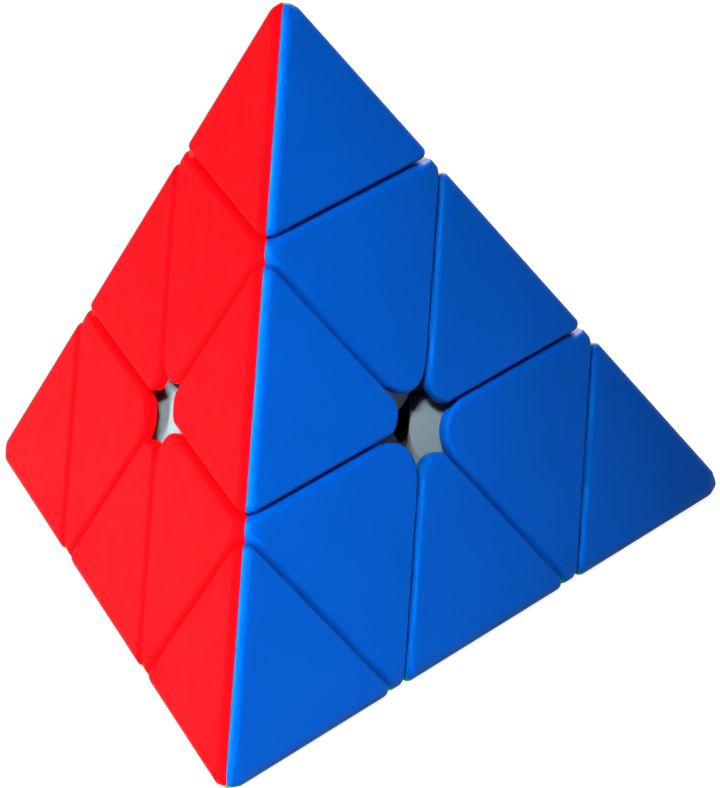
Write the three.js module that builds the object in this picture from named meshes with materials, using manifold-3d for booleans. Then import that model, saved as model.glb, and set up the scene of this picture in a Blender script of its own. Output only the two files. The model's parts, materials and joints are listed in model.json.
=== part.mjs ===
// Pyramid twisty puzzle: a regular tetrahedron of 14 turning pieces around a four-armed core.
// The origin is the pyramid's centroid, where the four turning axes cross. +Z points at the top corner.
// Every piece is built once, for the top corner or for the blue face, and copied by the rotations
// that turn the pyramid onto itself. All lengths are in millimetres.

import * as THREE from "three";
import { ConvexGeometry } from "three/addons/geometries/ConvexGeometry.js";
import { mergeVertices } from "three/addons/utils/BufferGeometryUtils.js";
import Module from "manifold-3d";

const wasm = await Module();
wasm.setup();

// Outer shape.
const OVERALL_EDGE = 98; // length of the pyramid's edge over its rounded corners
const RIDGE_RADIUS = 1.75; // fillet along the pyramid's edges
const RIDGE_SEGMENTS = 4;

// Gaps.
const TURN_GAP = 0.4; // between pieces that turn past each other
const SEAM_GAP = 0.3; // between parts fixed to the same piece

// Coloured panels.
const PANEL_THICKNESS = 1.8;
const CENTRE_CORNER_RADIUS = 3.8; // panel corner beside the hole in the middle of a face
const CORNER_SEGMENTS = 6;

// Core and its screws.
const BALL_RADIUS = 7;
const ARM_RADIUS = 3.4;
const ARM_END = 11.6; // distance of an arm's end from the centroid
const SCREW_RADIUS = 1.4;
const SCREW_START = 3.4;
const PILOT_CLEARANCE = 0.3;
const SCREW_FLANGE_AT = 22; // underside of the screw's flange, which the spring pushes on
const SCREW_FLANGE = { radius: 3.9, thickness: 0.8 };
const SCREW_HEAD = { radius: 3.2, height: 2.2 };
const SCREW_SOCKET = { radius: 1.4, depth: 1.4, sides: 6 };

// Spring.
const SPRING_RADIUS = 2.9; // to the middle of the wire
const WIRE_RADIUS = 0.4;
const SPRING_COILS = 3.5;
const SPRING_END_GAP = 0.3;
const STEPS_PER_COIL = 10;
const WIRE_SEGMENTS = 3;

// Edge feet, which the axial pieces' skirts hold down.
const FOOT_INNER_RADIUS = BALL_RADIUS + TURN_GAP;
const FOOT_OUTER_RADIUS = 13.8;
const FOOT_INNER_ANGLE = 30; // degrees from a turning axis to the near side of the foot
const FOOT_OUTER_ANGLE = 68; // and to its far side
const FOOT_BLOCK_HALF_LENGTH = 9;

// Axial bodies.
const SKIRT_INNER_RADIUS = FOOT_OUTER_RADIUS + TURN_GAP;
const SKIRT_INNER_ANGLE = 50; // degrees from the turning axis to where the skirt starts to thin
const DOME_RADIUS = 15.1; // outside of the body at its rim, seen through the hole in each face
const DOME_HEIGHT = 32; // from the rim to where the rounded outside would close on the axis
const DOME_STEPS = 12;
const BOSS_RADIUS = 5.2;
const BOSS_START = 8.2;
const FLOOR_AT = 15; // top of the floor that the spring sits on
const POCKET_RADIUS = 4.4; // round hole for the spring, the screw head and the tip's stub
const OVERLAP = 1; // how far joined bodies run into each other

// Tip stub, which snaps into the axial body.
const STUB_RADIUS = 4.1;
const STUB_BORE_RADIUS = 2.6;
const STUB_BORE_END = 43.5;
const STUB_END = 27.6;
const BEAD = { radius: 4.5, from: 28.8, to: 30, slope: 0.4 };

const LATHE_SEGMENTS = 24;
const ARC_STEP = 13; // largest angle in degrees between neighbouring points of a round outline
const WELD_DISTANCE = 1e-4;
const FAR = 300; // larger than the puzzle in every direction

// Sizes that follow from the driving dimensions.
const SHARP_EDGE = OVERALL_EDGE + (2 * Math.sqrt(6) - 2) * RIDGE_RADIUS;
const INRADIUS = SHARP_EDGE / (2 * Math.sqrt(6));
const HEIGHT = 4 * INRADIUS;
const LAYER_PLANE = HEIGHT / 12; // distance from the centroid to the plane that a layer turns on
const TIP_PLANE = (5 * HEIGHT) / 12; // distance from the centroid to the plane that a tip turns on
const PANEL_UNDERSIDE = INRADIUS - PANEL_THICKNESS;
const FACE_PLANE_SINE = Math.sqrt(8) / 3; // sine of the angle between a turning plane and a face

// Directions from the centroid to the four corners.
const CORNERS = {
  top: new THREE.Vector3(0, 0, 1),
  front: cornerAt(-90),
  left: cornerAt(150),
  right: cornerAt(30),
};

// Each face is named by its colour and lies opposite one corner.
const FACES = {
  red: { opposite: "right", corners: ["top", "front", "left"] },
  blue: { opposite: "left", corners: ["top", "front", "right"] },
  yellow: { opposite: "front", corners: ["top", "left", "right"] },
  green: { opposite: "top", corners: ["front", "left", "right"] },
};

const MATERIALS = {
  red: { color: 0xfb1426, roughness: 0.42, metalness: 0 },
  blue: { color: 0x0056c8, roughness: 0.42, metalness: 0 },
  yellow: { color: 0xffd21c, roughness: 0.42, metalness: 0 },
  green: { color: 0x10a04e, roughness: 0.42, metalness: 0 },
  grey: { color: 0xa8adae, roughness: 0.5, metalness: 0 },
  black: { color: 0x17181a, roughness: 0.5, metalness: 0 },
  steel: { color: 0xb9bdc1, roughness: 0.3, metalness: 1 },
};

function cornerAt(azimuthDegrees) {
  const azimuth = THREE.MathUtils.degToRad(azimuthDegrees);
  const out = Math.sqrt(8) / 3;
  return new THREE.Vector3(out * Math.cos(azimuth), out * Math.sin(azimuth), -1 / 3);
}

function faceNormal(face) {
  return CORNERS[FACES[face].opposite].clone().negate();
}

// The faces that meet at a corner, or that two corners share.
function facesAt(...corners) {
  return Object.keys(FACES).filter((face) => (
    corners.every((corner) => FACES[face].corners.includes(corner))
  ));
}

// The corner of a face that is neither of two others.
function thirdCorner(face, first, second) {
  return FACES[face].corners.find((corner) => corner !== first && corner !== second);
}

// Solids.

function solid(geometry) {
  const bare = geometry.clone();
  bare.deleteAttribute("normal");
  bare.deleteAttribute("uv");
  const merged = mergeVertices(bare, WELD_DISTANCE);
  const corners = merged.index.array;
  const triangles = [];
  for (let i = 0; i < corners.length; i += 3) {
    const [a, b, c] = [corners[i], corners[i + 1], corners[i + 2]];
    if (a !== b && b !== c && c !== a) triangles.push(a, b, c);
  }
  const vertProperties = new Float32Array(merged.attributes.position.array);
  const triVerts = new Uint32Array(triangles);
  return new wasm.Manifold(new wasm.Mesh({ numProp: 3, vertProperties, triVerts }));
}

function surface(body) {
  const { vertProperties, triVerts } = body.getMesh();
  const geometry = new THREE.BufferGeometry();
  geometry.setAttribute("position", new THREE.BufferAttribute(vertProperties, 3));
  geometry.setIndex(new THREE.BufferAttribute(triVerts, 1));
  geometry.computeVertexNormals();
  return geometry;
}

// All the space at least `distance` from the centroid along `direction`.
function beyond(direction, distance) {
  const block = new THREE.BoxGeometry(FAR, FAR, FAR);
  block.translate(0, 0, distance + FAR / 2);
  const unit = direction.clone().normalize();
  block.applyQuaternion(new THREE.Quaternion().setFromUnitVectors(CORNERS.top, unit));
  return solid(block);
}

// All the space at most `distance` from the centroid along `direction`.
function within(direction, distance) {
  return beyond(direction.clone().negate(), -distance);
}

function common(...bodies) {
  return bodies.reduce((result, body) => result.intersect(body));
}

// A solid of revolution about the top corner's axis. Its outline is a list of [radius, height].
function turned(outline) {
  const points = outline.map(([radius, height]) => new THREE.Vector2(radius, height));
  const lathe = new THREE.LatheGeometry(points, LATHE_SEGMENTS);
  lathe.rotateX(Math.PI / 2);
  return solid(lathe);
}

function rod(radius, from, to) {
  return turned([[0, from], [radius, from], [radius, to], [0, to]]);
}

function ball(radius) {
  return solid(new THREE.SphereGeometry(radius, LATHE_SEGMENTS, LATHE_SEGMENTS / 2));
}

function aimed(body, corner) {
  const turn = new THREE.Matrix4().makeRotationFromQuaternion(
    new THREE.Quaternion().setFromUnitVectors(CORNERS.top, CORNERS[corner]),
  );
  return solid(surface(body).applyMatrix4(turn));
}

// Points on a round arc about the centroid, from one angle off the top axis to another.
function arc(radius, fromDegrees, toDegrees) {
  const steps = Math.ceil(Math.abs(toDegrees - fromDegrees) / ARC_STEP);
  const points = [];
  for (let i = 0; i <= steps; i++) {
    const angle = THREE.MathUtils.degToRad(fromDegrees + ((toDegrees - fromDegrees) * i) / steps);
    points.push([radius * Math.sin(angle), radius * Math.cos(angle)]);
  }
  return points;
}

// The pyramid with every edge and corner rounded: the hull of a small sphere patch at each corner.
function roundedPyramid() {
  const points = [];
  for (const corner of Object.keys(CORNERS)) {
    const centre = CORNERS[corner].clone().multiplyScalar(3 * (INRADIUS - RIDGE_RADIUS));
    const normals = facesAt(corner).map(faceNormal);
    for (let i = 0; i <= RIDGE_SEGMENTS; i++) {
      for (let j = 0; i + j <= RIDGE_SEGMENTS; j++) {
        const direction = new THREE.Vector3()
          .addScaledVector(normals[0], i)
          .addScaledVector(normals[1], j)
          .addScaledVector(normals[2], RIDGE_SEGMENTS - i - j)
          .normalize();
        points.push(direction.multiplyScalar(RIDGE_RADIUS).add(centre));
      }
    }
  }
  return solid(new ConvexGeometry(points));
}

// Axes of a face with one of its corners up: x right, y towards the corner, z out of the face.
function flagAxes(corner, face) {
  const z = faceNormal(face);
  const y = CORNERS[corner].clone().addScaledVector(z, -CORNERS[corner].dot(z)).normalize();
  const x = new THREE.Vector3().crossVectors(y, z);
  return new THREE.Matrix4().makeBasis(x, y, z);
}

// The rotation that carries the top corner and the blue face to another corner and face.
function flagTurn(corner, face) {
  return flagAxes(corner, face).multiply(flagAxes("top", "blue").transpose());
}

// A 60 degree wedge of the blue face with its rounded point beside the face's centre.
// It opens towards the top corner, or away from it.
function centreWedge(opensUp) {
  const inset = TURN_GAP / 2 / FACE_PLANE_SINE;
  const point = 2 * inset;
  const centre = point + 2 * CENTRE_CORNER_RADIUS;
  const sideX = FAR * Math.sin(Math.PI / 6);
  const sideY = point + FAR * Math.cos(Math.PI / 6);
  const outline = new THREE.Shape();
  outline.absarc(0, centre, CENTRE_CORNER_RADIUS, (7 * Math.PI) / 6, (11 * Math.PI) / 6, false);
  outline.lineTo(sideX, sideY);
  outline.lineTo(-sideX, sideY);
  const wedge = new THREE.ExtrudeGeometry(outline, {
    depth: PANEL_THICKNESS * 2,
    bevelEnabled: false,
    curveSegments: CORNER_SEGMENTS,
  });
  wedge.translate(0, 0, PANEL_UNDERSIDE);
  if (!opensUp) wedge.rotateZ(Math.PI);
  wedge.applyMatrix4(flagAxes("top", "blue"));
  return solid(wedge);
}

// The blue side of the plane through the ridge that the blue face shares with another face.
function blueSideOf(face) {
  return beyond(faceNormal("blue").sub(faceNormal(face)), SEAM_GAP / 2);
}

const outerShape = roundedPyramid();
const blueSkin = outerShape.intersect(beyond(faceNormal("blue"), PANEL_UNDERSIDE));

// Coloured panels, all for the blue face.

function axialPanel() {
  return common(
    blueSkin,
    centreWedge(true),
    within(CORNERS.top, TIP_PLANE - TURN_GAP / 2),
    within(CORNERS.front, LAYER_PLANE - TURN_GAP / 2),
    within(CORNERS.right, LAYER_PLANE - TURN_GAP / 2),
    blueSideOf("red"),
    blueSideOf("yellow"),
  );
}

function edgePanel() {
  return common(
    blueSkin,
    centreWedge(false),
    beyond(CORNERS.front, LAYER_PLANE + TURN_GAP / 2),
    beyond(CORNERS.right, LAYER_PLANE + TURN_GAP / 2),
    blueSideOf("green"),
  );
}

function tipPanel() {
  return common(
    blueSkin,
    beyond(CORNERS.top, TIP_PLANE + TURN_GAP / 2),
    blueSideOf("red"),
    blueSideOf("yellow"),
  );
}

// The space under the panels of the faces around a piece.
function underPanels(faces) {
  return common(...faces.map((face) => within(faceNormal(face), PANEL_UNDERSIDE - SEAM_GAP)));
}

// Pieces on the top corner's axis.

// The outside of an axial body, a quarter of an ellipse from its rim up to the axis.
function domeOutline() {
  const points = [];
  for (let i = 0; i <= DOME_STEPS; i++) {
    const angle = (Math.PI / 2) * (i / DOME_STEPS);
    points.push([DOME_RADIUS * Math.cos(angle), LAYER_PLANE + DOME_HEIGHT * Math.sin(angle)]);
  }
  return points;
}

function axialBody() {
  const shell = turned([...arc(SKIRT_INNER_RADIUS, 0, SKIRT_INNER_ANGLE), ...domeOutline()]);
  const boss = rod(BOSS_RADIUS, BOSS_START, SKIRT_INNER_RADIUS + OVERLAP);
  const bore = turned([
    [0, 0],
    [ARM_RADIUS + SEAM_GAP, 0],
    [ARM_RADIUS + SEAM_GAP, ARM_END + TURN_GAP],
    [SCREW_RADIUS + TURN_GAP, ARM_END + TURN_GAP],
    [SCREW_RADIUS + TURN_GAP, FLOOR_AT],
    [POCKET_RADIUS, FLOOR_AT],
    [POCKET_RADIUS, BEAD.from - BEAD.slope],
    [BEAD.radius + TURN_GAP, BEAD.from],
    [BEAD.radius + TURN_GAP, BEAD.to],
    [POCKET_RADIUS, BEAD.to + BEAD.slope],
    [POCKET_RADIUS, HEIGHT],
    [0, HEIGHT],
  ]);
  return common(
    shell.add(boss).subtract(bore),
    within(CORNERS.top, TIP_PLANE - TURN_GAP / 2),
    beyond(CORNERS.top, LAYER_PLANE + TURN_GAP / 2),
    within(CORNERS.front, LAYER_PLANE - TURN_GAP / 2),
    within(CORNERS.left, LAYER_PLANE - TURN_GAP / 2),
    within(CORNERS.right, LAYER_PLANE - TURN_GAP / 2),
    underPanels(["red", "blue", "yellow"]),
  );
}

function tipBase() {
  const block = common(
    beyond(CORNERS.top, TIP_PLANE + TURN_GAP / 2),
    underPanels(["red", "blue", "yellow"]),
  );
  const stub = turned([
    [0, STUB_END],
    [STUB_RADIUS, STUB_END],
    [STUB_RADIUS, BEAD.from - BEAD.slope],
    [BEAD.radius, BEAD.from],
    [BEAD.radius, BEAD.to],
    [STUB_RADIUS, BEAD.to + BEAD.slope],
    [STUB_RADIUS, TIP_PLANE + OVERLAP],
    [0, TIP_PLANE + OVERLAP],
  ]);
  return block.add(stub).subtract(rod(STUB_BORE_RADIUS, 0, STUB_BORE_END));
}

function screw() {
  const headStart = SCREW_FLANGE_AT + SCREW_FLANGE.thickness;
  const headEnd = headStart + SCREW_HEAD.height;
  const turnedPart = turned([
    [0, SCREW_START],
    [SCREW_RADIUS, SCREW_START],
    [SCREW_RADIUS, SCREW_FLANGE_AT],
    [SCREW_FLANGE.radius, SCREW_FLANGE_AT],
    [SCREW_FLANGE.radius, headStart],
    [SCREW_HEAD.radius, headStart],
    [SCREW_HEAD.radius, headEnd],
    [0, headEnd],
  ]);
  const { radius, depth, sides } = SCREW_SOCKET;
  const socket = new THREE.CylinderGeometry(radius, radius, 2 * depth, sides);
  socket.rotateX(Math.PI / 2);
  socket.translate(0, 0, headEnd);
  return turnedPart.subtract(solid(socket));
}

class Helix extends THREE.Curve {
  constructor(radius, from, to, coils) {
    super();
    Object.assign(this, { radius, from, to, coils });
  }

  getPoint(t, target = new THREE.Vector3()) {
    const angle = 2 * Math.PI * this.coils * t;
    const height = this.from + (this.to - this.from) * t;
    return target.set(this.radius * Math.cos(angle), this.radius * Math.sin(angle), height);
  }
}

function spring() {
  const margin = SPRING_END_GAP + WIRE_RADIUS;
  const path = new Helix(SPRING_RADIUS, FLOOR_AT + margin, SCREW_FLANGE_AT - margin, SPRING_COILS);
  const section = new THREE.Shape();
  section.absarc(0, 0, WIRE_RADIUS, 0, 2 * Math.PI, false);
  return solid(new THREE.ExtrudeGeometry(section, {
    extrudePath: path,
    steps: STEPS_PER_COIL * SPRING_COILS,
    curveSegments: WIRE_SEGMENTS,
    bevelEnabled: false,
  }));
}

function core() {
  const arm = rod(ARM_RADIUS, 0, ARM_END);
  const pilotHole = rod(SCREW_RADIUS + PILOT_CLEARANCE, SCREW_START - PILOT_CLEARANCE, HEIGHT);
  let body = ball(BALL_RADIUS);
  for (const corner of Object.keys(CORNERS)) body = body.add(aimed(arm, corner));
  for (const corner of Object.keys(CORNERS)) body = body.subtract(aimed(pilotHole, corner));
  return body;
}

// The inner part of the edge piece between the front and right corners.
function edgeFoot() {
  const section = [
    ...arc(FOOT_INNER_RADIUS, FOOT_INNER_ANGLE, FOOT_OUTER_ANGLE),
    ...arc(FOOT_OUTER_RADIUS, FOOT_OUTER_ANGLE, FOOT_INNER_ANGLE),
  ];
  const ring = turned([...section, section[0]]);
  const foot = common(aimed(ring, "front"), aimed(ring, "right"));
  const across = CORNERS.top.clone().sub(CORNERS.left).normalize();
  const block = common(
    beyond(CORNERS.front, LAYER_PLANE + TURN_GAP / 2),
    beyond(CORNERS.right, LAYER_PLANE + TURN_GAP / 2),
    underPanels(["blue", "green"]),
    within(across, FOOT_BLOCK_HALF_LENGTH),
    beyond(across, -FOOT_BLOCK_HALF_LENGTH),
  );
  return foot.add(block);
}

// Assembly.

const puzzle = new THREE.Group();

function place(name, geometry, material, turn) {
  const mesh = new THREE.Mesh(geometry, new THREE.MeshStandardMaterial(MATERIALS[material]));
  mesh.name = name;
  mesh.quaternion.setFromRotationMatrix(turn);
  puzzle.add(mesh);
}

const geometries = {
  axialBody: surface(axialBody()),
  axialPanel: surface(axialPanel()),
  edgeFoot: surface(edgeFoot()),
  edgePanel: surface(edgePanel()),
  tipBase: surface(tipBase()),
  tipPanel: surface(tipPanel()),
  screw: surface(screw()),
  spring: surface(spring()),
};

place("core", surface(core()), "black", new THREE.Matrix4());

// On each corner's axis: the screw and spring, the axial piece and the tip.
for (const corner of Object.keys(CORNERS)) {
  const faces = facesAt(corner);
  const turn = flagTurn(corner, faces[0]);
  place(`${corner}_screw`, geometries.screw, "steel", turn);
  place(`${corner}_spring`, geometries.spring, "steel", turn);
  place(`${corner}_axial_body`, geometries.axialBody, "grey", turn);
  place(`${corner}_tip_base`, geometries.tipBase, "grey", turn);
  for (const face of faces) {
    place(`${corner}_axial_${face}_panel`, geometries.axialPanel, face, flagTurn(corner, face));
    place(`${corner}_tip_${face}_panel`, geometries.tipPanel, face, flagTurn(corner, face));
  }
}

// Between each two corners: an edge piece, with a panel on each of its two faces.
const cornerNames = Object.keys(CORNERS);
for (const [i, first] of cornerNames.entries()) {
  for (const second of cornerNames.slice(i + 1)) {
    const edge = `${first}_${second}_edge`;
    const turns = facesAt(first, second).map((face) => ({
      face,
      turn: flagTurn(thirdCorner(face, first, second), face),
    }));
    place(`${edge}_foot`, geometries.edgeFoot, "black", turns[0].turn);
    for (const { face, turn } of turns) {
      place(`${edge}_${face}_panel`, geometries.edgePanel, face, turn);
    }
  }
}

export default puzzle;
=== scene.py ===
import itertools
import json
import math

import bmesh
import bpy
import numpy as np
from mathutils import Matrix, Vector


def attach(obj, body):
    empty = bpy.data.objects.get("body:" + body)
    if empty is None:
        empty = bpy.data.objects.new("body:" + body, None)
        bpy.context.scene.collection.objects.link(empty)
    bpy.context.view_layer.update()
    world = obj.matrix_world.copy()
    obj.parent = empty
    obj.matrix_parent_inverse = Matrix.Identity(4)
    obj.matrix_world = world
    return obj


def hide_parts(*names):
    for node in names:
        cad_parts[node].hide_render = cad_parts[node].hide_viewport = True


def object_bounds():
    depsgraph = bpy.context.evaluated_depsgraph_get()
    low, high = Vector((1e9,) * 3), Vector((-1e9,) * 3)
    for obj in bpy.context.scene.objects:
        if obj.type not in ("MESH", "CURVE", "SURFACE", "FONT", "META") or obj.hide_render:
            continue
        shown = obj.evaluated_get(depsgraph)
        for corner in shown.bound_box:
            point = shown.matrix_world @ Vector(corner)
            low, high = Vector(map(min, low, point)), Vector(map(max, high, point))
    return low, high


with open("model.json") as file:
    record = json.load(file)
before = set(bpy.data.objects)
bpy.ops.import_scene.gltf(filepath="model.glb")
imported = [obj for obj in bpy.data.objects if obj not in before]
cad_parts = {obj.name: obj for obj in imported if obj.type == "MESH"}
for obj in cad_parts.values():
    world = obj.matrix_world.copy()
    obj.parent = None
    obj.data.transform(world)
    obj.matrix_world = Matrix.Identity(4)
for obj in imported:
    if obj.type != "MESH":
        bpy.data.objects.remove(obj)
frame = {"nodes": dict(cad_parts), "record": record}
cad_low, cad_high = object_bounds()

MM = 0.001
WELD_DISTANCE = 0.001      # millimetres, like every other length here unless it says metres

# Tolerances of the mesh work.
PARALLEL = 1e-6            # planes whose normals have a smaller determinant share no corner
INSIDE = 1e-6              # how far past a plane a point still counts as inside it
ON_PLANE = 1e-5            # how near a plane a corner counts as lying on it
ON_CUT = 1e-9              # how near a cut a point counts as lying on it
SAME_POINT = 1e-4          # points closer than this are one point
POINT_DECIMALS = 4
ANY_DIRECTION = (0.3, 0.5, 0.8)

# The pyramid, from the CAD model's base and the rounding of its ridges.
RIDGE_RADIUS = 1.75
INRADIUS = -cad_low.z / MM
LAYER_PLANE = INRADIUS / 3
TIP_PLANE = 5 * INRADIUS / 3
FACE_ANGLE = 70.53         # degrees between two faces, and between two layers' cuts

# Panels.
GROOVE = 0.42              # width of the gap between two pieces that turn past each other
SEAM = 0.05                # width of the gap between two panels of one piece
PANEL_FILLET = 0.8
PANEL_THICKNESS = 1.6
PANEL_BLANK_DEPTH = 8      # the panel's block, before it is cut to the panel's thickness
CENTRE_CORNER_RADIUS = 3.8
CENTRE_CORNER_TURN = 45    # degrees to each side that the round corner beside the hole spans
AXIAL_RIDGE_SET_BACK = 0.25
POINT_SET_BACK = 0.33      # how much blunter a corner of the pyramid is than its ridges
SEAM_CHAMFER = 0.08
RIDGE_STEP = 12            # degrees between the small facets of a ridge
POINT_STEPS = 6            # small facets from one face to the next around a corner of the pyramid
CORNER_STEP = 9
FILLET_STEP = 13
ARC_STEP = 3

# Axial bodies: rounded outside, as the holes in the faces show, with a skirt over the edges' feet.
# A start or an end is a height along the turning axis, from the pyramid's centroid.
DOME_RADIUS = 15.1         # at the rim
DOME_HEIGHT = 32           # from the rim to where the rounded outside would close on the axis
DOME_STEPS = 40
SKIRT_INNER_RADIUS = 14.2
SKIRT_INNER_ANGLE = 50     # degrees from the turning axis to where the skirt starts to thin
RIM_WIDTH = 0.3
SKIRT_CORNER_RADIUS = 3.3  # where the rim meets the planes that the other layers turn on
BOSS_RADIUS = 5.2
BOSS_START = 8.2
ARM_BORE = {"radius": 3.7, "end": 12}
SCREW_BORE_RADIUS = 1.8
POCKET = {"radius": 4.4, "start": 15}
BEAD_GROOVE = {"radius": 4.9, "start": 28.8, "end": 30, "slope": 0.4}
BODY_EDGE = 0.15           # width of the rounding on the mechanism's edges
LATHE_SEGMENTS = 96
SMOOTH_ANGLE = 30          # degrees; sharper corners than this are real edges

CAMERA = {"azimuth": 12.158, "elevation": 26.444, "roll": 3.025, "distance": 686.1, "aim": (6.803, 4.36)}
LENS = 266.97
SENSOR_WIDTH = 36

FLOOR_HALF_WIDTH = 3       # metres
FLOOR_GAP = 0.02           # keeps the base and the floor from lying in one plane
FLOOR_LIGHT = 0.2          # how strongly the floor shines on the object
FLOOR_GLOW = 0.85          # how strongly the floor shines to the camera, which keeps it nearly white
WORLD_LIGHT = 0.06

# Materials: how many cells of each noise pattern fit across a metre, and what it does.
CLOUD_SCALE = 70
MARKS_SCALE = 260
BRUSHED_SCALE = 2400
GRAIN_SCALE = 5200
GRAIN_DEPTH = 0.0001       # metres
MARKS_DEPTH = 0.05         # how far the handling marks take the roughness up and down
NOISE_LOW = 0.3            # most of a noise texture's values lie between these two
NOISE_HIGH = 0.7
STEEL_COLOUR = (0.62, 0.63, 0.65, 1)
STEEL_ROUGHNESS = (0.22, 0.38)


def base_corner(azimuth):
    """The direction of one of the three lower corners, at an angle from +X towards +Y."""
    turn = math.radians(azimuth)
    out = math.sqrt(8) / 3
    return np.array([out * math.cos(turn), out * math.sin(turn), -1 / 3])


CORNERS = {
    "top": np.array([0.0, 0.0, 1.0]),
    "front": base_corner(-90),
    "left": base_corner(150),
    "right": base_corner(30),
}

FACES = {
    "red": ("top", "front", "left"),
    "blue": ("top", "front", "right"),
    "yellow": ("top", "left", "right"),
    "green": ("front", "left", "right"),
}


def unit(v):
    v = np.asarray(v, float)
    return v / np.linalg.norm(v)


def face_normal(face):
    opposite = next(name for name in CORNERS if name not in FACES[face])
    return -CORNERS[opposite]


def flag_axes(corner, face):
    """Columns: x along the face, y towards the corner, z out of the face."""
    z = face_normal(face)
    y = unit(CORNERS[corner] - z * (CORNERS[corner] @ z))
    return np.column_stack([np.cross(y, z), y, z])


def flag_turn(corner, face):
    """The rotation that carries the top corner and the blue face to another corner and face."""
    return flag_axes(corner, face) @ flag_axes("top", "blue").T


# ---------------------------------------------------------------- rounded convex solids

def between(a, b, step_degrees):
    """Unit directions strictly between two others, on the great circle through them."""
    angle = math.acos(max(-1.0, min(1.0, float(a @ b))))
    steps = max(1, math.ceil(math.degrees(angle) / step_degrees))
    weights = [i / steps for i in range(1, steps)]
    return [unit(math.sin((1 - w) * angle) * a + math.sin(w * angle) * b) for w in weights]


def polytope_corners(planes):
    """Corners of the solid inside all the planes, each with the planes that meet there."""
    normals = np.array([n for n, d in planes])
    offsets = np.array([d for n, d in planes])
    triples = np.array(list(itertools.combinations(range(len(planes)), 3)))
    a = normals[triples]
    good = np.abs(np.linalg.det(a)) > PARALLEL
    points = np.linalg.solve(a[good], offsets[triples[good]][..., None])[..., 0]
    points = points[(points @ normals.T <= offsets + INSIDE).all(1)]
    corners = []
    for p in points:
        if not any(np.linalg.norm(p - q) < ON_PLANE for q in corners):
            corners.append(p)
    return [(p, [i for i, (n, d) in enumerate(planes) if abs(n @ p - d) < ON_PLANE]) for p in corners]


def rounded_solid(planes, radius):
    """Polygons of the convex solid inside the planes, with every edge and corner rounded.

    Each polygon is a pair: its points, and the surface's true normal at each of them.
    """
    corners = polytope_corners([(n, d - radius) for n, d in planes])
    normals = [n for n, d in planes]
    faces_at = {}
    for index, (p, touching) in enumerate(corners):
        for i in touching:
            faces_at.setdefault(i, set()).add(index)
    points = []
    directions = []
    for index, (p, touching) in enumerate(corners):
        fan = [normals[i] for i in touching]
        arcs = []
        for i, j in itertools.combinations(touching, 2):
            if len(faces_at[i] & faces_at[j]) == 2:
                arcs += between(normals[i], normals[j], FILLET_STEP)
        middle = unit(sum(fan))
        inner = [middle]
        for n in fan + arcs:
            inner += between(middle, n, FILLET_STEP)
        for n in fan + arcs + inner:
            points.append(p + radius * n)
            directions.append(n)
    bm = bmesh.new()
    for p in points:
        bm.verts.new(p)
    bm.verts.index_update()
    layer = bm.verts.layers.int.new("source")
    for v in bm.verts:
        v[layer] = v.index
    bmesh.ops.remove_doubles(bm, verts=bm.verts, dist=SAME_POINT)
    bmesh.ops.convex_hull(bm, input=bm.verts)
    bmesh.ops.recalc_face_normals(bm, faces=bm.faces)
    polygons = []
    for f in bm.faces:
        places = np.array([list(v.co) for v in f.verts])
        polygons.append((places, np.array([directions[v[layer]] for v in f.verts])))
    bm.free()
    return polygons


def clipped(polygons, normal, offset):
    """The part of a convex solid behind a plane, closed with a flat cap."""
    kept = []
    rim = []
    for points, normals in polygons:
        height = points @ normal - offset
        if (height <= ON_CUT).all():
            kept.append((points, normals))
            continue
        if (height >= -ON_CUT).all():
            continue
        new_points = []
        new_normals = []
        for i in range(len(points)):
            j = (i + 1) % len(points)
            if height[i] <= 0:
                new_points.append(points[i])
                new_normals.append(normals[i])
            if (height[i] <= 0) != (height[j] <= 0):
                t = height[i] / (height[i] - height[j])
                crossing = points[i] + t * (points[j] - points[i])
                new_points.append(crossing)
                new_normals.append(unit(normals[i] + t * (normals[j] - normals[i])))
                rim.append(crossing)
        if len(new_points) > 2:
            kept.append((np.array(new_points), np.array(new_normals)))
    if len(rim) > 2:
        rim = np.array(rim)
        centre = rim.mean(0)
        x = unit(np.cross(normal, ANY_DIRECTION))
        y = np.cross(normal, x)
        order = np.argsort(np.arctan2((rim - centre) @ y, (rim - centre) @ x))
        loop = []
        for p in rim[order]:
            if not loop or np.linalg.norm(p - loop[-1]) > SAME_POINT:
                loop.append(p)
        if np.linalg.norm(loop[0] - loop[-1]) < SAME_POINT:
            loop.pop()
        kept.append((np.array(loop), np.tile(normal, (len(loop), 1))))
    return kept


def turned_polygons(polygons, rotation):
    return [(points @ rotation.T, normals @ rotation.T) for points, normals in polygons]


def mesh_from(name, polygons):
    """A Blender mesh of the polygons, which share their points and keep their own normals."""
    places = {}
    faces = []
    corner_normals = []
    for points, normals in polygons:
        loop = []
        loop_normals = []
        for p, n in zip(points, normals):
            key = tuple(np.round(p, POINT_DECIMALS))
            index = places.setdefault(key, len(places))
            if index not in loop:
                loop.append(index)
                loop_normals.append(n)
        if len(loop) > 2:
            faces.append(loop)
            corner_normals += loop_normals
    mesh = bpy.data.meshes.new(name)
    mesh.from_pydata([Vector(p) * MM for p in places], [], faces)
    mesh.update()
    mesh.polygons.foreach_set("use_smooth", [True] * len(mesh.polygons))
    mesh.normals_split_custom_set([Vector(n) for n in corner_normals])
    return mesh


# ---------------------------------------------------------------- panels, all for the blue face

BLUE = face_normal("blue")


def ridge_planes(face, set_back=0.0):
    """The planes that follow the round ridge between the blue face and another face."""
    radius = RIDGE_RADIUS
    other = face_normal(face)
    mitre = unit(BLUE + other)
    axis_height = (INRADIUS - radius) / float(mitre @ BLUE)
    planes = []
    for n in between(BLUE, other, RIDGE_STEP):
        planes.append((n, axis_height * float(n @ mitre) + radius - set_back * float(n @ mitre)))
    return planes + [(other, INRADIUS)]


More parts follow.
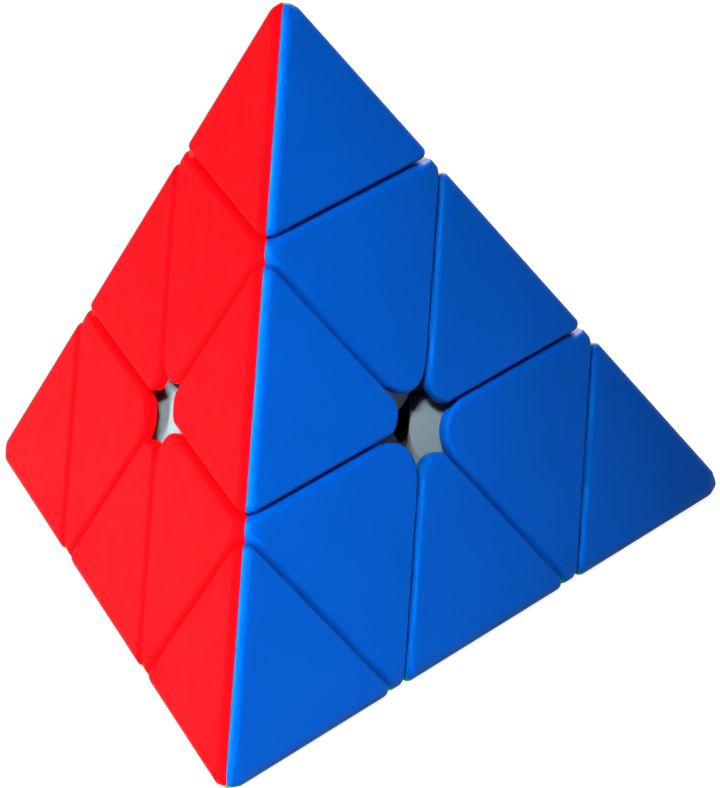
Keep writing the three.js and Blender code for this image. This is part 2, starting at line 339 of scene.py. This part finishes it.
def centre_corner_planes(opens_up):
    """The planes that round a panel's corner beside the hole in the middle of the face."""
    axes = flag_axes("top", "blue")
    sign = 1 if opens_up else -1
    point = GROOVE / math.sin(math.radians(FACE_ANGLE))
    centre = axes[:, 1] * sign * (point + 2 * CENTRE_CORNER_RADIUS)
    planes = []
    for degrees in range(-CENTRE_CORNER_TURN, CENTRE_CORNER_TURN + 1, CORNER_STEP):
        a = math.radians(degrees)
        n = unit(axes[:, 0] * math.sin(a) - axes[:, 1] * sign * math.cos(a))
        planes.append((n, float(n @ centre) + CENTRE_CORNER_RADIUS))
    return planes


def finish_panel(planes, other_faces):
    """The panel inside the planes, with a clean seam against the same piece's panels on other faces."""
    solid = rounded_solid(planes + [(-BLUE, -(INRADIUS - PANEL_BLANK_DEPTH))], PANEL_FILLET)
    solid = clipped(solid, -BLUE, -(INRADIUS - PANEL_THICKNESS))
    for face in other_faces:
        away = unit(face_normal(face) - BLUE)
        solid = clipped(solid, away, -SEAM / 2)
        mitre = unit(BLUE + face_normal(face))
        ridge_top = (INRADIUS - RIDGE_RADIUS) / float(mitre @ BLUE) + RIDGE_RADIUS
        slope = unit(away + mitre)
        solid = clipped(solid, slope, (ridge_top - SEAM_CHAMFER) * float(slope @ mitre))
    return solid


def point_planes():
    """The planes that round the top corner, where the red, blue and yellow faces meet."""
    centre = CORNERS["top"] * 3 * (INRADIUS - RIDGE_RADIUS)
    planes = []
    for i in range(POINT_STEPS):
        for j in range(1, POINT_STEPS - i):
            k = POINT_STEPS - i - j
            n = unit(i * BLUE + j * face_normal("red") + k * face_normal("yellow"))
            planes.append((n, float(n @ centre) + RIDGE_RADIUS - POINT_SET_BACK))
    return planes


def tip_panel():
    planes = [(BLUE, INRADIUS), (-CORNERS["top"], -(TIP_PLANE + GROOVE / 2))]
    planes += ridge_planes("red") + ridge_planes("yellow") + point_planes()
    return finish_panel(planes, ["red", "yellow"])


def axial_panel():
    planes = [(BLUE, INRADIUS), (CORNERS["top"], TIP_PLANE - GROOVE / 2)]
    planes += [(CORNERS[corner], LAYER_PLANE - GROOVE / 2) for corner in ("front", "right")]
    planes += ridge_planes("red", AXIAL_RIDGE_SET_BACK) + ridge_planes("yellow", AXIAL_RIDGE_SET_BACK)
    planes += centre_corner_planes(True)
    return finish_panel(planes, ["red", "yellow"])


def edge_panel():
    planes = [(BLUE, INRADIUS)]
    planes += [(-CORNERS[corner], -(LAYER_PLANE + GROOVE / 2)) for corner in ("front", "right")]
    planes += ridge_planes("green")
    planes += centre_corner_planes(False)
    return finish_panel(planes, ["green"])


# ---------------------------------------------------------------- axial body, for the top corner

def arc(radius, start, end):
    """Points on a round arc about the centroid, from one angle off the turning axis to another."""
    steps = math.ceil(abs(end - start) / ARC_STEP)
    angles = [math.radians(start + (end - start) * i / steps) for i in range(steps + 1)]
    return [(radius * math.sin(a), radius * math.cos(a)) for a in angles]


def axial_outline():
    """The body's section as a closed loop of (radius, height): up the bore, down the dome and back."""
    top = TIP_PLANE - GROOVE / 2
    rim = LAYER_PLANE + GROOVE / 2
    bead = BEAD_GROOVE
    outline = [
        (ARM_BORE["radius"], BOSS_START),
        (ARM_BORE["radius"], ARM_BORE["end"]),
        (SCREW_BORE_RADIUS, ARM_BORE["end"]),
        (SCREW_BORE_RADIUS, POCKET["start"]),
        (POCKET["radius"], POCKET["start"]),
        (POCKET["radius"], bead["start"] - bead["slope"]),
        (bead["radius"], bead["start"]),
        (bead["radius"], bead["end"]),
        (POCKET["radius"], bead["end"] + bead["slope"]),
        (POCKET["radius"], top),
    ]
    steepest = math.asin((top - rim) / DOME_HEIGHT)
    for i in range(DOME_STEPS + 1):
        a = steepest * (1 - i / DOME_STEPS)
        outline.append((DOME_RADIUS * math.cos(a), rim + DOME_HEIGHT * math.sin(a)))
    outline.append((DOME_RADIUS - RIM_WIDTH, rim))
    boss_angle = math.degrees(math.asin(BOSS_RADIUS / SKIRT_INNER_RADIUS))
    outline += arc(SKIRT_INNER_RADIUS, SKIRT_INNER_ANGLE, boss_angle)
    return outline + [(BOSS_RADIUS, BOSS_START)]


def lathe(outline):
    bm = bmesh.new()
    rings = []
    for k in range(LATHE_SEGMENTS):
        a = 2 * math.pi * k / LATHE_SEGMENTS
        rings.append([bm.verts.new((r * math.cos(a), r * math.sin(a), z)) for r, z in outline])
    for k, ring in enumerate(rings):
        following = rings[(k + 1) % LATHE_SEGMENTS]
        for i in range(len(outline)):
            j = (i + 1) % len(outline)
            bm.faces.new((ring[i], following[i], following[j], ring[j]))
    return bm


def trim(bm, normal, offset):
    """Cuts away everything beyond a plane and closes the cut."""
    everything = bm.verts[:] + bm.edges[:] + bm.faces[:]
    place = Vector(normal) * offset
    cut = bmesh.ops.bisect_plane(bm, geom=everything, plane_co=place, plane_no=normal, clear_outer=True)
    rim = [item for item in cut["geom_cut"] if isinstance(item, bmesh.types.BMEdge)]
    bmesh.ops.triangle_fill(bm, use_beauty=True, edges=rim, normal=normal)


def rounding_planes(a, a_offset, b, b_offset, radius):
    """The planes that follow a round edge between two others."""
    offsets = np.array([a_offset - radius, b_offset - radius])
    centre = np.linalg.lstsq(np.array([a, b]), offsets, rcond=None)[0]
    return [(n, float(n @ centre) + radius) for n in between(a, b, FILLET_STEP)]


def axial_body():
    bm = lathe(axial_outline())
    own, own_offset = -CORNERS["top"], -(LAYER_PLANE + GROOVE / 2)
    for corner in ("front", "left", "right"):
        other, other_offset = CORNERS[corner], LAYER_PLANE - GROOVE / 2
        trim(bm, other, other_offset)
        for normal, offset in rounding_planes(own, own_offset, other, other_offset, SKIRT_CORNER_RADIUS):
            trim(bm, normal, offset)
    for face in ("red", "blue", "yellow"):
        trim(bm, face_normal(face), INRADIUS - PANEL_THICKNESS - SEAM)
    bmesh.ops.remove_doubles(bm, verts=bm.verts, dist=WELD_DISTANCE)
    bmesh.ops.recalc_face_normals(bm, faces=bm.faces)
    for edge in bm.edges:
        edge.smooth = edge.calc_face_angle(0) < math.radians(SMOOTH_ANGLE)
    for face in bm.faces:
        face.smooth = True
    return bm


def round_edges(piece):
    bevel = piece.modifiers.new("round_edges", "BEVEL")
    bevel.width = BODY_EDGE * MM
    bevel.segments = 3
    bevel.limit_method = "ANGLE"
    bevel.angle_limit = math.radians(SMOOTH_ANGLE)
    bevel.harden_normals = True


# ---------------------------------------------------------------- materials

def new_material(name):
    material = bpy.data.materials.new(name)
    material.use_nodes = True
    nodes = material.node_tree.nodes
    return material, nodes, material.node_tree.links, nodes["Principled BSDF"]


def linear(hex_colour):
    channels = [int(hex_colour[i : i + 2], 16) / 255 for i in (0, 2, 4)]
    return [c / 12.92 if c <= 0.04045 else ((c + 0.055) / 1.055) ** 2.4 for c in channels]


def noise(nodes, links, coordinates, scale, detail=2.0):
    node = nodes.new("ShaderNodeTexNoise")
    node.inputs["Scale"].default_value = scale
    node.inputs["Detail"].default_value = detail
    links.new(coordinates, node.inputs["Vector"])
    return node.outputs["Fac"]


def spread(nodes, links, value, low, high):
    node = nodes.new("ShaderNodeMapRange")
    node.inputs["From Min"].default_value = NOISE_LOW
    node.inputs["From Max"].default_value = NOISE_HIGH
    node.inputs["To Min"].default_value = low
    node.inputs["To Max"].default_value = high
    links.new(value, node.inputs["Value"])
    return node.outputs["Result"]


def moulded_plastic(name, hex_colour, roughness, specular, tint=(1, 1, 1), grain=0.05, shade=0.04):
    """Satin moulded plastic: a fine spark-eroded grain, slightly cloudy colour and handling marks."""
    material, nodes, links, shader = new_material(name)
    place = nodes.new("ShaderNodeTexCoord").outputs["Object"]
    colour = linear(hex_colour)
    cloud = spread(nodes, links, noise(nodes, links, place, CLOUD_SCALE), 1 - shade, 1 + shade)
    scaled = nodes.new("ShaderNodeVectorMath")
    scaled.operation = "SCALE"
    scaled.inputs[0].default_value = colour
    links.new(cloud, scaled.inputs["Scale"])
    links.new(scaled.outputs["Vector"], shader.inputs["Base Color"])
    marks = noise(nodes, links, place, MARKS_SCALE, 4)
    marked = spread(nodes, links, marks, roughness - MARKS_DEPTH, roughness + MARKS_DEPTH)
    links.new(marked, shader.inputs["Roughness"])
    bump = nodes.new("ShaderNodeBump")
    bump.inputs["Strength"].default_value = grain
    bump.inputs["Distance"].default_value = GRAIN_DEPTH
    links.new(noise(nodes, links, place, GRAIN_SCALE, 3), bump.inputs["Height"])
    links.new(bump.outputs["Normal"], shader.inputs["Normal"])
    shader.inputs["Specular IOR Level"].default_value = specular
    shader.inputs["Specular Tint"].default_value = (*tint, 1)
    return material


# The gloss is tinted towards each panel's own colour.
PLASTIC = {
    "red": moulded_plastic("red_plastic", "f0040b", 0.42, 0.016, tint=(1, 0.12, 0.16)),
    "blue": moulded_plastic("blue_plastic", "0053bd", 0.42, 0.16, tint=(0.05, 0.8, 1)),
    "yellow": moulded_plastic("yellow_plastic", "e8b800", 0.42, 0.1, tint=(1, 0.85, 0.2)),
    "green": moulded_plastic("green_plastic", "00993a", 0.42, 0.1, tint=(0.2, 1, 0.4)),
}
GREY = moulded_plastic("grey_plastic", "76868d", 0.38, 0.35, grain=0.02, shade=0.02)
BLACK = moulded_plastic("black_plastic", "0b0c0e", 0.45, 0.4, grain=0.03, shade=0.1)


def steel():
    material, nodes, links, shader = new_material("steel")
    place = nodes.new("ShaderNodeTexCoord").outputs["Object"]
    shader.inputs["Base Color"].default_value = STEEL_COLOUR
    shader.inputs["Metallic"].default_value = 1
    brushed = noise(nodes, links, place, BRUSHED_SCALE, 3)
    links.new(spread(nodes, links, brushed, *STEEL_ROUGHNESS), shader.inputs["Roughness"])
    return material


STEEL = steel()


# ---------------------------------------------------------------- pieces

def add_piece(name, mesh, material, body, node):
    piece = bpy.data.objects.new(name, mesh)
    piece.data.materials.append(material)
    bpy.context.scene.collection.objects.link(piece)
    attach(piece, body)
    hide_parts(node)
    return piece


BODIES = frame["record"]["behaviour"]["bodies"]
BODY_OF = {node: body for body, nodes in BODIES.items() for node in nodes}


def add_panels():
    kinds = {"tip": tip_panel(), "axial": axial_panel(), "edge": edge_panel()}
    for face, corners in FACES.items():
        for corner in corners:
            turn = flag_turn(corner, face)
            first, second = [name for name in CORNERS if name in corners and name != corner]
            nodes = {
                "tip": f"{corner}_tip_{face}_panel",
                "axial": f"{corner}_axial_{face}_panel",
                "edge": f"{first}_{second}_edge_{face}_panel",
            }
            for kind, node in nodes.items():
                mesh = mesh_from(node, turned_polygons(kinds[kind], turn))
                add_piece(f"{node}_skin", mesh, PLASTIC[face], BODY_OF[node], node)


def add_axial_bodies():
    shape = axial_body()
    for corner in CORNERS:
        face = next(name for name, corners in FACES.items() if corner in corners)
        turn = Matrix(flag_turn(corner, face)).to_4x4()
        copy = shape.copy()
        bmesh.ops.transform(copy, matrix=Matrix.Scale(MM, 4) @ turn, verts=copy.verts)
        node = f"{corner}_axial_body"
        mesh = bpy.data.meshes.new(node)
        copy.to_mesh(mesh)
        copy.free()
        piece = add_piece(f"{node}_skin", mesh, GREY, BODY_OF[node], node)
        round_edges(piece)
    shape.free()


def dress_cad_nodes():
    for name, node in frame["nodes"].items():
        if node.hide_render:
            continue
        if name == "core" or name.endswith("_foot"):
            material = BLACK
        elif name.endswith("_screw") or name.endswith("_spring"):
            material = STEEL
        else:
            material = GREY
        node.data.materials.clear()
        node.data.materials.append(material)
        weld = node.modifiers.new("weld", "WELD")
        weld.merge_threshold = WELD_DISTANCE * MM
        round_edges(node)


# ---------------------------------------------------------------- setting

def add_floor():
    """A pale table that shines more to the camera than on the object, so its shadows stay faint."""
    half = FLOOR_HALF_WIDTH
    height = cad_low.z - FLOOR_GAP * MM
    corners = [(-half, -half, height), (half, -half, height), (half, half, height), (-half, half, height)]
    mesh = bpy.data.meshes.new("floor")
    mesh.from_pydata(corners, [], [(0, 1, 2, 3)])
    floor = bpy.data.objects.new("floor", mesh)
    material, nodes, links, shader = new_material("floor")
    shader.inputs["Base Color"].default_value = (0.3, 0.3, 0.3, 1)
    shader.inputs["Roughness"].default_value = 0.9
    shader.inputs["Specular IOR Level"].default_value = 0.1
    shader.inputs["Emission Color"].default_value = (1, 1, 1, 1)
    glow = nodes.new("ShaderNodeMapRange")
    glow.inputs["To Min"].default_value = FLOOR_LIGHT
    glow.inputs["To Max"].default_value = FLOOR_GLOW
    links.new(nodes.new("ShaderNodeLightPath").outputs["Is Camera Ray"], glow.inputs["Value"])
    links.new(glow.outputs["Result"], shader.inputs["Emission Strength"])
    mesh.materials.append(material)
    bpy.context.scene.collection.objects.link(floor)


def direction(azimuth, elevation):
    """Azimuth 0 is in front, at -Y, and 90 is at +X."""
    a = math.radians(azimuth)
    e = math.radians(elevation)
    return Vector((math.sin(a) * math.cos(e), -math.cos(a) * math.cos(e), math.sin(e)))


def add_light(name, azimuth, elevation, distance, size, watts, aim=(0, 0, 0), spread=180):
    """A round softbox. Its distance and size are in metres, the place it aims at in millimetres."""
    light = bpy.data.lights.new(name, "AREA")
    light.shape = "DISK"
    light.size = size
    light.energy = watts
    light.spread = math.radians(spread)
    lamp = bpy.data.objects.new(name, light)
    lamp.location = direction(azimuth, elevation) * distance
    lamp.rotation_euler = (lamp.location - Vector(aim) * MM).to_track_quat("Z", "Y").to_euler()
    lamp.visible_camera = False
    bpy.context.scene.collection.objects.link(lamp)


def add_world(strength):
    world = bpy.data.worlds.new("world")
    world.use_nodes = True
    world.node_tree.nodes["Background"].inputs["Color"].default_value = (1, 1, 1, 1)
    world.node_tree.nodes["Background"].inputs["Strength"].default_value = strength
    bpy.context.scene.world = world


def add_camera():
    back = direction(CAMERA["azimuth"], CAMERA["elevation"])
    a = math.radians(CAMERA["azimuth"])
    right = Vector((math.cos(a), math.sin(a), 0))
    up = back.cross(right)
    roll = math.radians(CAMERA["roll"])
    x = math.cos(roll) * right - math.sin(roll) * up
    y = math.sin(roll) * right + math.cos(roll) * up
    aim_x, aim_y = CAMERA["aim"]
    place = (back * CAMERA["distance"] + right * aim_x + up * aim_y) * MM
    data = bpy.data.cameras.new("camera")
    data.sensor_fit = "HORIZONTAL"
    data.sensor_width = SENSOR_WIDTH
    data.lens = LENS
    data.clip_start = 0.05
    data.clip_end = 20
    camera = bpy.data.objects.new("camera", data)
    camera.matrix_world = Matrix.Translation(place) @ Matrix((x, y, back)).transposed().to_4x4()
    bpy.context.scene.collection.objects.link(camera)
    bpy.context.scene.camera = camera


add_panels()
add_axial_bodies()
dress_cad_nodes()
add_floor()
add_world(WORLD_LIGHT)
add_light(
    "front_softbox",
    azimuth=-1,
    elevation=48,
    distance=0.5,
    size=0.185,
    watts=0.15,
    aim=(-44, -44, 15),
    spread=15,
)
add_light("left_softbox", azimuth=-45, elevation=10, distance=0.6, size=0.25, watts=8)
add_light("back_softbox", azimuth=180, elevation=30, distance=0.9, size=0.5, watts=8)
add_camera()
bpy.context.scene.view_settings.view_transform = "Standard"
